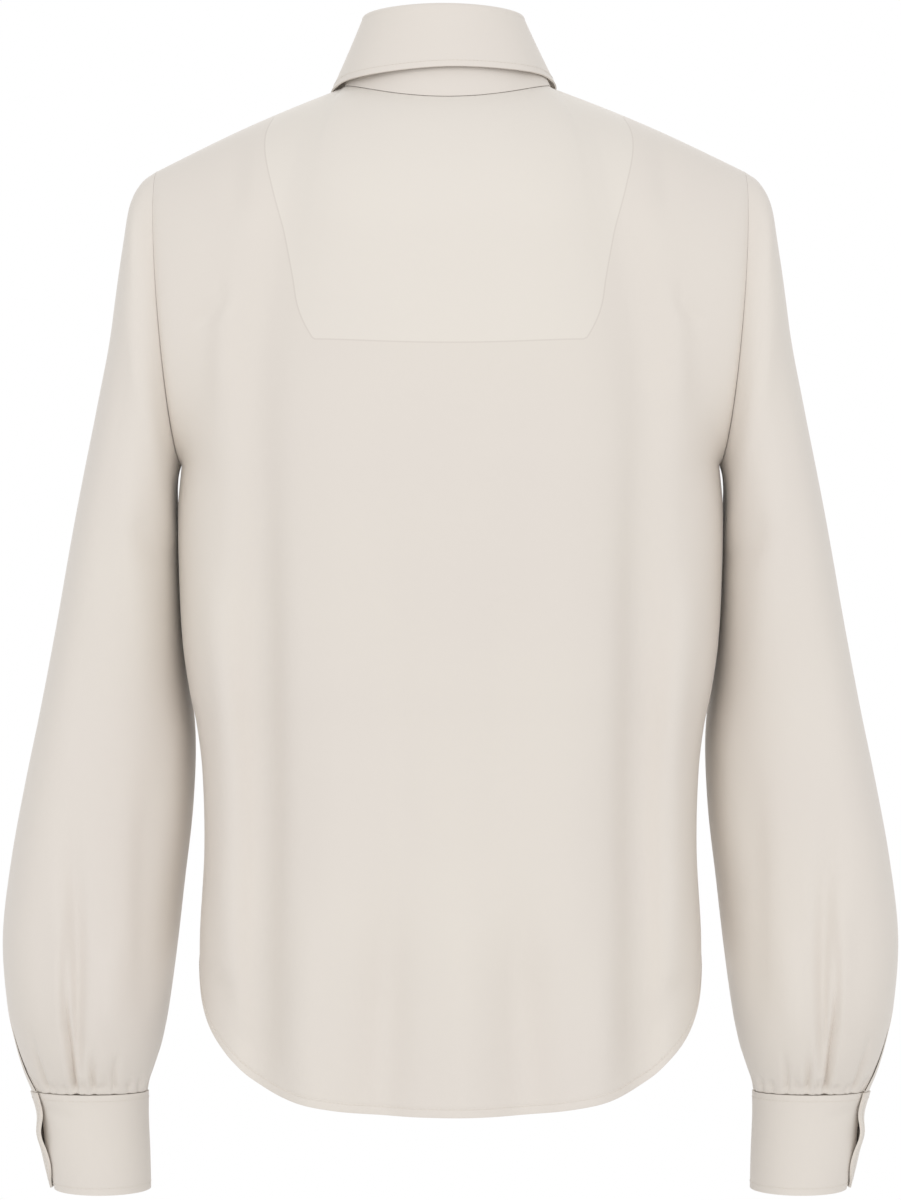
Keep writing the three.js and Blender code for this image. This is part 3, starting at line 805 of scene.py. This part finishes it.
for node, surface, across in (
    ("front_right", front_cloth, FRONT_ACROSS),
    ("front_left", left_front_cloth, -FRONT_ACROSS[::-1]),
):
    sewn = ("u1", "v0") if node == "front_right" else ("u0", "v0")
    front = sheet(node, hemmed(surface, 1), across, BODY_DOWN, 1, silk, sewn=sewn)
    hem_across = spread(across[0], across[-1], 160) * 0.985
    rows = [stitches("stitches_" + node + "_hem", hemmed(surface, 1), hem_across,
                     np.full(161, HEM_ROW), 1)]
    if node == "front_right":
        rows.append(stitches("stitches_" + node + "_edge", hemmed(surface, 1),
                             np.full(301, PLACKET), spread(0.03, 1.97, 300), 1))

# %% [markdown]
# ## Collar
# A tall stand rises from the neckline and a deep fall turns down over it. Both are doubled and
# stiffened, so they keep a smooth, firm curve with hardly a crease.

# %% Collar
def stand(turn, height):
    """The stand: turn round the neck, height 0 at the neckline seam and 1 at the fold."""
    low = collar_ring(NECK, turn) - outward(turn) * STAND_SEAM.inward + [0, 0, STAND_SEAM.up]
    under = LAYER_STEP * smoothstep(-turn, math.radians(130), math.radians(165))
    return lerp(low, collar_ring(FOLD, turn), height[..., None]) - outward(turn) * under[..., None]


def fall(turn, down):
    """The fall: over the fold from above the stand (-1 to 0), then down to its edge (1)."""
    over = np.clip(down + 1, 0, 1) * np.pi
    away = outward(turn)
    roll = FALL_ROLL.lift * (1 - over / np.pi) + FALL_ROLL.up * np.sin(over)
    fold = collar_ring(FOLD, turn) + away * (FALL_ROLL.out * (1 - np.cos(over)) / 2)[..., None]
    fold[..., 2] += roll
    at = [read(FALL_EDGE, "turn", np.degrees(np.abs(turn)), column) for column in "xyz"]
    edge = point(FOLD.shift + np.sign(turn) * at[0], at[1], at[2] + FALL_TILT * np.sin(turn))
    hang = np.maximum(0, down)
    belly = FALL_BELLY * np.maximum(0, -np.cos(turn)) * np.sin(hang * np.pi)
    return lerp(fold, edge, hang[..., None]) + away * belly[..., None]


STAND_TURNS = spread(-STAND_END, STAND_END, 150)
FALL_TURNS = spread(-FALL_END, FALL_END, 150)
FALL_DOWN = np.concatenate([spread(-1, 0, 16), spread(0, 1, 26)[1:]])

collar_stand = sheet("collar_stand", stand, STAND_TURNS, spread(0, 1, 18), 1, silk,
                     sewn=("v0",), thickness=0.8)
collar_fall = sheet("collar_fall", fall, FALL_TURNS, FALL_DOWN, -1, silk, thickness=1.0)
fall_edge = stitches("stitches_collar_fall", fall, spread(-FALL_END * 0.985, FALL_END * 0.985, 260),
                     np.full(261, 0.9), -1, thickness=1.0)

# %% [markdown]
# ## Sleeves
# Each sleeve is a full tube, slit at the wrist and drawn into its cuff by small uneven gathers.
# One deep fold runs up from the cuff, and the upper arm only bends a little.

# %% Sleeve form
SLEEVE_FOLDS = {
    "back": table(
        FOLD_COLUMNS,
        (241, -430, 237, -640, -4, 8, 0.45, -6.0, 0.6, 0.1),
        (250, -480, 246, -600, -3, 9, 0.8, 2.4, 0.5, 0.3),
        (190, -400, 192, -620, 2, 9, 1, -2.6, 0.4, 0.3),
        (174, -360, 178, -520, -2, 8, 1, 2.2, 0.4, 0.4),
        (212, -520, 214, -610, 2, 10, 0.8, 2.2, 0.5, 0.4),
        (198, -70, 218, -330, 3, 12, 1.3, -4.5, 0.4, 0.5),
        (206, -200, 190, -400, 3, 13, 1, 3.0, 0.4, 0.4),
        (232, -300, 236, -450, -4, 14, 1, -2.0, 0.5, 0.5),
        (200, -262, 176, -305, 5, 7, 1.4, -2.2, 0.4, 0.5),
    ),
    "front": table(
        FOLD_COLUMNS,
        (238, -420, 230, -640, 3, 9, 0.5, -4.4, 0.6, 0.1),
        (196, -390, 198, -620, 2, 9, 1, -2.6, 0.4, 0.3),
        (216, -500, 214, -612, 2, 10, 0.8, 2.4, 0.5, 0.4),
        (206, -120, 188, -256, 6, 14, 1, -2.8, 0.4, 0.5),
        (214, -200, 186, -262, -7, 9, 1.2, -2.6, 0.4, 0.5),
        (222, -250, 190, -320, -6, 10, 1.2, -2.4, 0.4, 0.5),
        (234, -320, 238, -450, -4, 14, 1, 2.0, 0.5, 0.5),
    ),
}
# The gathers of the back, where they show, then the rest at uneven steps
BACK_GATHERS = table(
    "turn half deep up",
    (30, 2.0, -1.6, 14), (46, 2.2, -3.2, 46), (55, 1.4, -1.8, 9), (68, 1.5, -1.8, 8),
    (78.5, 2.2, -5.6, 128), (87, 1.5, -2.2, 12), (97, 2.0, -3.6, 38), (104, 1.4, -1.6, 9),
    (109, 1.5, -1.4, 18), (117.5, 2.0, -2.6, 34), (135, 1.8, -1.8, 12), (150, 2.0, -2.0, 14),
)
rng = np.random.default_rng(11)
turns = 162 + np.cumsum(rng.uniform(8, 14, 16))
HIDDEN_GATHERS = {
    "turn": turns, "half": rng.uniform(1.5, 2.6, 16), "deep": -rng.uniform(1.8, 4.0, 16),
    "up": rng.uniform(10, 46, 16),
}


def slit_open(row):
    """How open the wrist slit is at a row: 0 above it, 1 at the cuff."""
    return np.clip((row - SLIT.row) / (SLEEVE_END - SLIT.row), 0, 1)


def gather_lift(turn, z, half_ring):
    """How far the gathers lift the cloth: thin troughs at the cuff that fade upwards."""
    above = z - SLEEVE["out_z"][-1]
    turn = np.degrees(turn) % 360
    lift = np.zeros(turn.shape)
    for gathers in (BACK_GATHERS, HIDDEN_GATHERS):
        for place, half, deep, up in zip(*gathers.values()):
            apart = np.radians((turn - place + 180) % 360 - 180) * half_ring
            width = half * (1 + above / up)
            fade = (1 - smoothstep(above, 0.25 * up, up)) * lerp(0.25, 1, smoothstep(above, 0, 5))
            lift += deep * fade * np.exp(-((apart / np.maximum(width, 0.5)) ** 2))
    return lift


def sleeve_cloth(side):
    """A sleeve: around runs from the slit's back edge (0) round the back, inside and front to 1."""
    def flat(around, row):
        opening = slit_open(row)
        turn = SLIT.turn + lerp(0, 2 * np.pi + SLIT.over * opening * smoothstep(around, 0.8, 1), around)
        place = sleeve_ring(side, row, turn)
        inward = (1 - np.cos(turn)) / 2
        sewn = np.maximum(0, 1 - row) * lerp(SLEEVE_SEAM.top, SLEEVE_SEAM.underarm, inward)
        place[..., 0] += side * sewn
        away = point(side * np.cos(turn), -np.sin(turn), 0)
        lap = opening * SLIT.lift * smoothstep(around, 0.86, 0.95)
        return place + away * lap[..., None]

    def with_folds(around, row):
        turn = SLIT.turn + 2 * np.pi * around
        place = flat(around, row)
        x, z = side * place[..., 0], place[..., 2]
        behind = smoothstep(np.sin(turn), -0.12, 0.12)
        lift = soft_folds(x, z, SLEEVE_FOLDS["back"]) * behind
        lift += soft_folds(x, z, SLEEVE_FOLDS["front"]) * (1 - behind)
        lift *= smoothstep(row, 0, 2.5) * smoothstep(z, -635, -600)
        lift += gather_lift(turn, z, read(SLEEVE, "row", row, "half") + 3)
        return place + normal_of(flat, around, row) * (side * lift)[..., None]

    return with_folds


# %% Sleeves and slit bindings
SLEEVE_ROWS = np.concatenate([spread(0, 11, 72), spread(11, 14, 28)[1:], spread(14, 16, 50)[1:]])
SLEEVE_AROUND = np.concatenate([spread(0, 0.5, 130), spread(0.5, 1, 90)[1:]])

for word, side in (("left", -1), ("right", 1)):
    surface = sleeve_cloth(side)
    sleeve = sheet("sleeve_" + word, surface, SLEEVE_AROUND, SLEEVE_ROWS, side, silk,
                   sewn=("v0", "v1"))
    binding = sheet("slit_binding_" + word, moved(surface, -side * LAYER_STEP * 0.6),
                    spread(27 / 28, 1, 6), spread(SLIT.row, SLEEVE_END, 40), side, silk)

# %% [markdown]
# ## Cuffs
# A cuff is one stiffened band folded double. Its end comes round from the front, laps over the
# outer side and gapes a little between its two buttons.

# %% Cuffs
CUFF_LAP_END = 0.5
CUFF_CORNER = 0.7
GAPE = Sizes(lift=4.0, middle=-662, half=10)
DIMPLE = table(FOLD_COLUMNS, (264, -643, 232, -653, 1, 3.4, 1.5, -0.9, 0.1, 0.7))
CUFF_TOP, CUFF_FOOT = -636.0, Sizes(back=-700, front=-698)


def cuff_cloth(side):
    """A cuff: share 0 at its tucked end to 1 at its lap, drop 0 at its top to 1 at its foot."""
    def place(share, drop):
        corner = np.maximum(0, (drop - CUFF_CORNER) / (1 - CUFF_CORNER)) ** 2
        end = 2 * np.pi + CUFF_LAP_END * (1 - 0.9 * corner)
        turn = lerp(CUFF_START, end, share)
        foot = lerp(CUFF_FOOT.front, CUFF_FOOT.back, np.maximum(0, np.sin(turn)))
        z = lerp(CUFF_TOP, foot, drop)
        out, inner = read(CUFF, "z", z, "out_x"), read(CUFF, "z", z, "in_x")
        start = 2 * np.pi + CUFF_START - CUFF_RAMP
        lap = CUFF_LAP * smoothstep(turn, start, start + CUFF_RAMP)
        gaping = np.exp(-(((z - GAPE.middle) / GAPE.half) ** 2))
        lap = lap + GAPE.lift * gaping * smoothstep(turn, 2 * np.pi - 0.15, 2 * np.pi + 0.5)
        x = (out + inner) / 2 + ((out - inner) / 2 + lap) * np.cos(turn)
        y = CUFF_AHEAD - (read(CUFF, "z", z, "half") + lap) * np.sin(turn)
        under = (np.sin(turn) > 0) & (turn < np.pi)
        return point(side * x, y - soft_folds(x, z, DIMPLE) * under, z)

    return place


for word, side in (("left", -1), ("right", 1)):
    cuff = sheet("cuff_" + word, cuff_cloth(side), spread(0, 1, 190), spread(0, 1, 40), side, silk,
                 thickness=CUFF_SILK)
    rows = [stitches(f"stitches_cuff_{word}_{end}", cuff_cloth(side), spread(0.02, 0.985, 220),
                     np.full(221, drop), side, thickness=CUFF_SILK)
            for end, drop in (("top", 0.06), ("foot", 0.93))]
    rows.append(stitches(f"stitches_cuff_{word}_lap", cuff_cloth(side), np.full(61, 0.985),
                         spread(0.06, 0.93, 60), side, thickness=CUFF_SILK))

# %% [markdown]
# ## Buttons
# Twelve small shell buttons, dished with a rim and four holes, sewn on with a cross of thread.
# One is turned and drilled as a maker would, and the others are copies of it, each laid on the
# place and axis of its own node in the frame.

# %% A button
BUTTON = Sizes(radius=5.6, thick=2.2, rim=1.3, dish=0.5, hole=0.65, hole_place=1.25)


def make_button():
    """A dished button on the origin, facing up."""
    bpy.ops.object.select_all(action="DESELECT")
    bpy.ops.mesh.primitive_cylinder_add(
        vertices=40, radius=BUTTON.radius * MM, depth=BUTTON.thick * MM,
        location=(0, 0, BUTTON.thick * MM / 2))
    disc = bpy.context.object
    bpy.ops.object.transform_apply(location=True)
    bpy.ops.object.mode_set(mode="EDIT")
    bpy.ops.mesh.select_mode(type="FACE")
    bpy.ops.mesh.select_all(action="DESELECT")
    bpy.ops.object.mode_set(mode="OBJECT")
    for face in disc.data.polygons:
        face.select = face.normal.z > 0.9
    bpy.ops.object.mode_set(mode="EDIT")
    bpy.ops.mesh.inset(thickness=BUTTON.rim * MM)
    bpy.ops.mesh.inset(thickness=0.4 * MM)
    bpy.ops.transform.translate(value=(0, 0, -BUTTON.dish * MM))
    bpy.ops.object.mode_set(mode="OBJECT")
    add_modifier(disc, "BEVEL", width=0.35 * MM, segments=3, angle_limit=math.radians(25))
    for i in range(4):
        angle = math.radians(45 + 90 * i)
        place = Vector((math.cos(angle), math.sin(angle), 0)) * BUTTON.hole_place * MM
        bpy.ops.object.select_all(action="DESELECT")
        bpy.ops.mesh.primitive_cylinder_add(
            vertices=14, radius=BUTTON.hole * MM, depth=0.01, location=place)
        drill = bpy.context.object
        add_modifier(disc, "BOOLEAN", operation="DIFFERENCE", object=drill)
        bpy.data.objects.remove(drill)
    select_only(disc)
    bpy.ops.object.shade_smooth_by_angle(angle=math.radians(35))
    disc.data.materials.append(pearl)
    return disc


def make_cross():
    """The thread through a button's holes: two crossed bars, arched over its dish."""
    bars = []
    for angle in (45, 135):
        bpy.ops.object.select_all(action="DESELECT")
        bpy.ops.mesh.primitive_torus_add(
            major_radius=BUTTON.hole_place * MM, minor_radius=0.28 * MM, major_segments=20,
            minor_segments=8, rotation=(math.pi / 2, 0, math.radians(angle)),
            location=(0, 0, (BUTTON.thick - BUTTON.dish - 0.55) * MM))
        bars.append(bpy.context.object)
    for bar in bars:
        bar.select_set(True)
    bpy.context.view_layer.objects.active = bars[0]
    bpy.ops.object.join()
    cross = bpy.context.object
    bpy.ops.object.transform_apply(location=True, rotation=True)
    bpy.ops.object.shade_smooth()
    cross.data.materials.append(thread)
    return cross


button_model, cross_model = make_button(), make_cross()
print("button:", len(button_model.data.polygons), "faces")

# %% Buttons in place
def node_axis(node):
    """The middle of a flat round node, and the axis that it faces along; the caller turns it away from the
    body.
    """
    corners = np.array([v.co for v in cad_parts[node].data.vertices])
    centre = (corners.min(axis=0) + corners.max(axis=0)) / 2
    axis = np.linalg.svd(corners - corners.mean(axis=0), full_matrices=False)[2][2]
    return Vector(centre), Vector(axis)


def place_copy(model, name, place, turned, size):
    """A copy of a model with its own mesh, and its place in that mesh."""
    copy = model.copy()
    copy.data = model.data.copy()
    copy.name = name
    bpy.context.collection.objects.link(copy)
    grown = turned.to_matrix().to_4x4()
    grown.translation = place
    copy.data.transform(grown @ Matrix.Scale(size, 4))
    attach(copy, "root")
    return copy


button_nodes = [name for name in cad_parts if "button" in name]
for node in sorted(button_nodes):
    centre, axis = node_axis(node)
    if node.startswith("cuff"):
        side = -1 if "left" in node else 1
        body_middle = Vector((side * 0.2295, 0.008, centre.z))
    else:
        body_middle = Vector((0, 0, centre.z))
    if axis.dot(centre - body_middle) < 0:
        axis = -axis
    low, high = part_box(node)
    size = 5.0 / BUTTON.radius if node.startswith("cuff") else 1.0
    turned = axis.to_track_quat("Z", "Y")
    seat = centre - axis * BUTTON.thick * MM / 2
    shell = place_copy(button_model, "shell_" + node, seat, turned, size)
    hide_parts(node)
    place_copy(cross_model, "thread_" + node, seat, turned, size)
for model in (button_model, cross_model):
    bpy.data.objects.remove(model)
